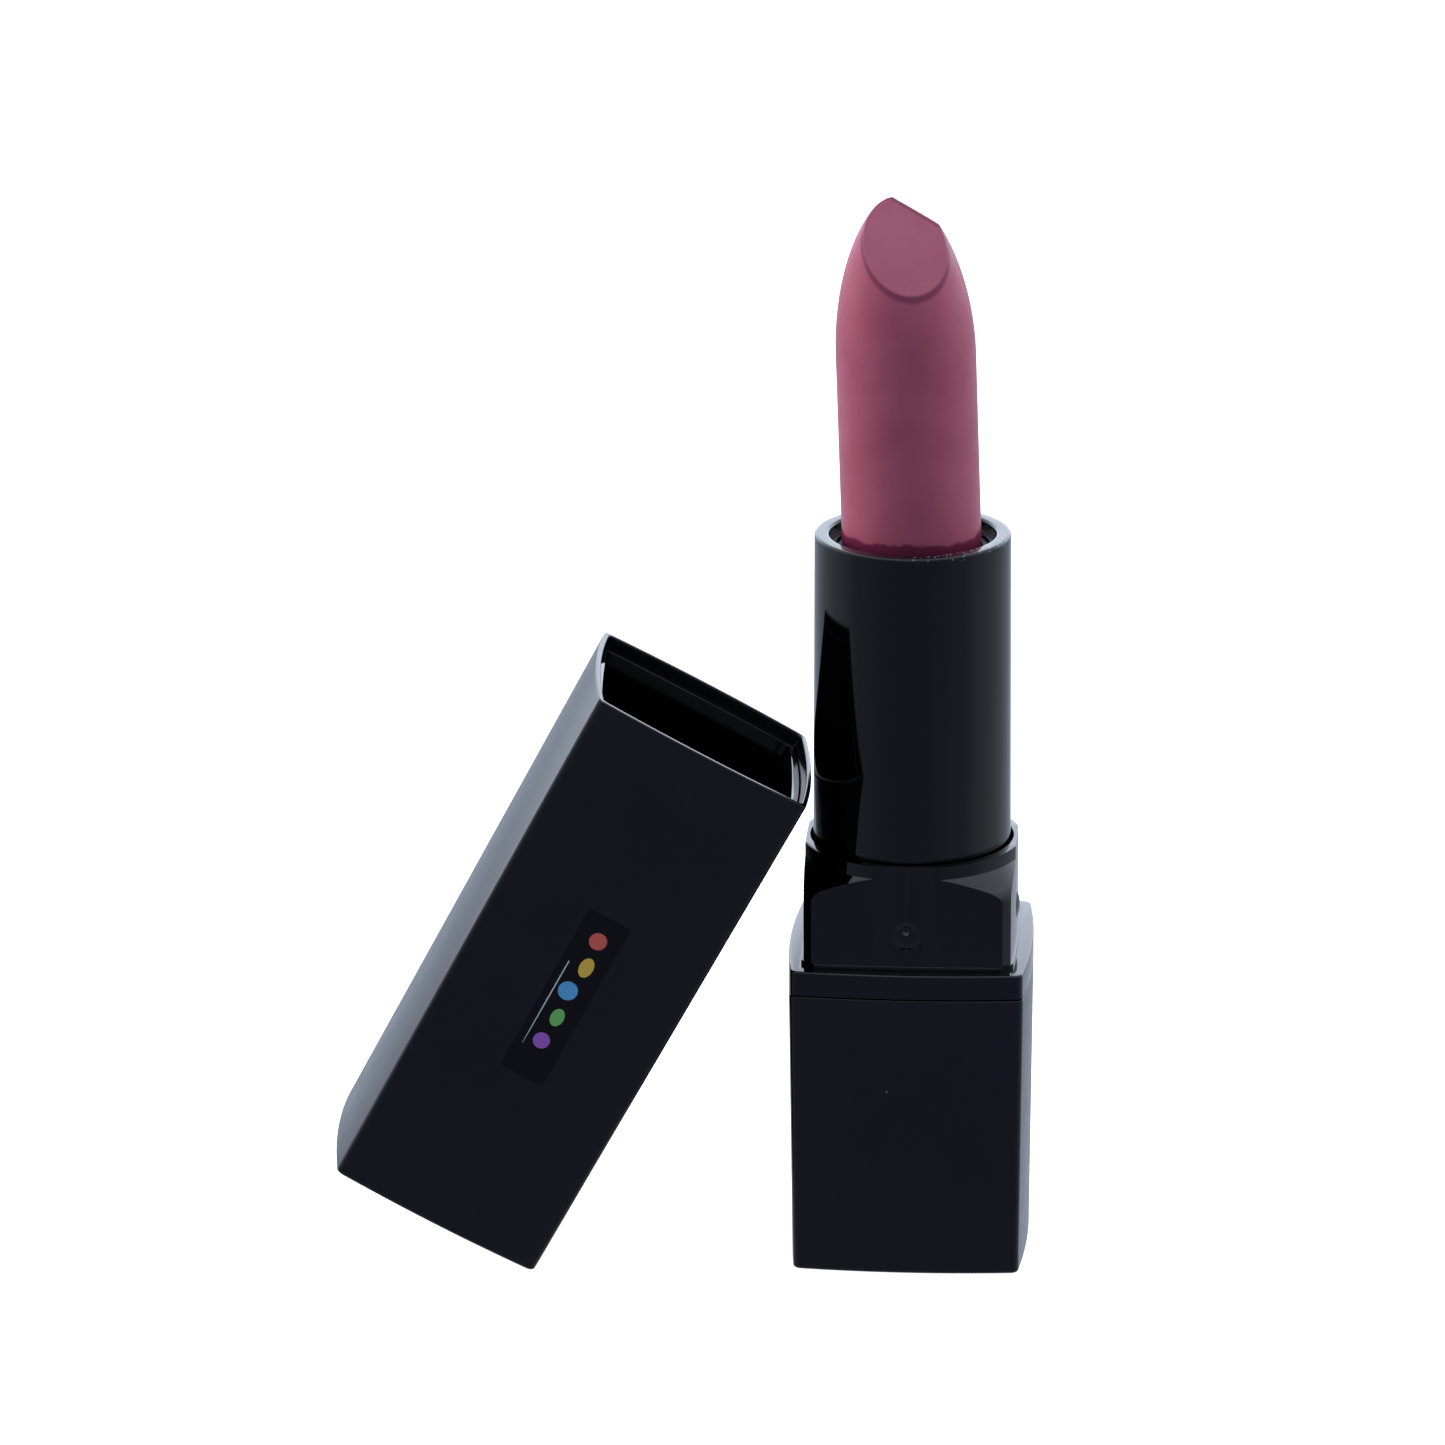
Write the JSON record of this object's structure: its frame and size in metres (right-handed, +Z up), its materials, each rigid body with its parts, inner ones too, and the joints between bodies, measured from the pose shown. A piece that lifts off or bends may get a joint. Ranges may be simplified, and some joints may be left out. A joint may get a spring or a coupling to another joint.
{
  "type": "lipstick case",
  "caption": "Square twist-up lipstick case with its crowned cap off and leaning on the round tube, and the slant-cut bullet wound out.",
  "frame": {"origin": "middle of the base's flat foot", "axes": "+Z up along the tube, -Y towards the front face of the base, +X to the right; the cap lies on the -X side"},
  "size_m": [0.0611, 0.0242, 0.0933],
  "materials": {
    "satin_black_shell": "satin",
    "gloss_black_plastic": "polished",
    "dark_inner_plastic": "as moulded",
    "natural_inner_plastic": "as moulded",
    "slug_steel": "tumbled",
    "soft_silicone": "matt",
    "lip_wax": "smooth wax",
    "label_film": "printed film"
  },
  "bodies": {
    "base": {"base_shell": "satin_black_shell", "base_weight": "slug_steel", "base_socket": "natural_inner_plastic", "collar": "gloss_black_plastic", "guide_sleeve": "dark_inner_plastic", "friction_ring": "soft_silicone"},
    "swivel": {"outer_tube": "gloss_black_plastic", "spiral_sleeve": "natural_inner_plastic"},
    "carrier": {"carrier_cup": "dark_inner_plastic", "bullet": "lip_wax"},
    "cap": {"cap_shell": "satin_black_shell", "cap_liner": "gloss_black_plastic", "cap_label": "label_film"}
  },
  "joints": [
    {"name": "tube_twist", "type": "hinge", "parent": "base", "child": "swivel", "pos_m": [0, 0, 0.044], "axis": [0, 0, 1], "range_deg": [0, 630]},
    {"name": "carrier_rise", "type": "slide", "parent": "base", "child": "carrier", "axis": [0, 0, 1], "range_m": [-0.031, 0]},
    {"name": "cap_tip", "type": "hinge", "parent": "base", "child": "cap", "pos_m": [-0.03272, -0.00265, 0.0004], "axis": [0.0659, -0.9978, 0], "range_deg": [0, 28.88]}
  ],
  "couplings": [
    {"joint": "carrier_rise", "follows": "tube_twist", "m_per_rad": -0.0028193}
  ]
}
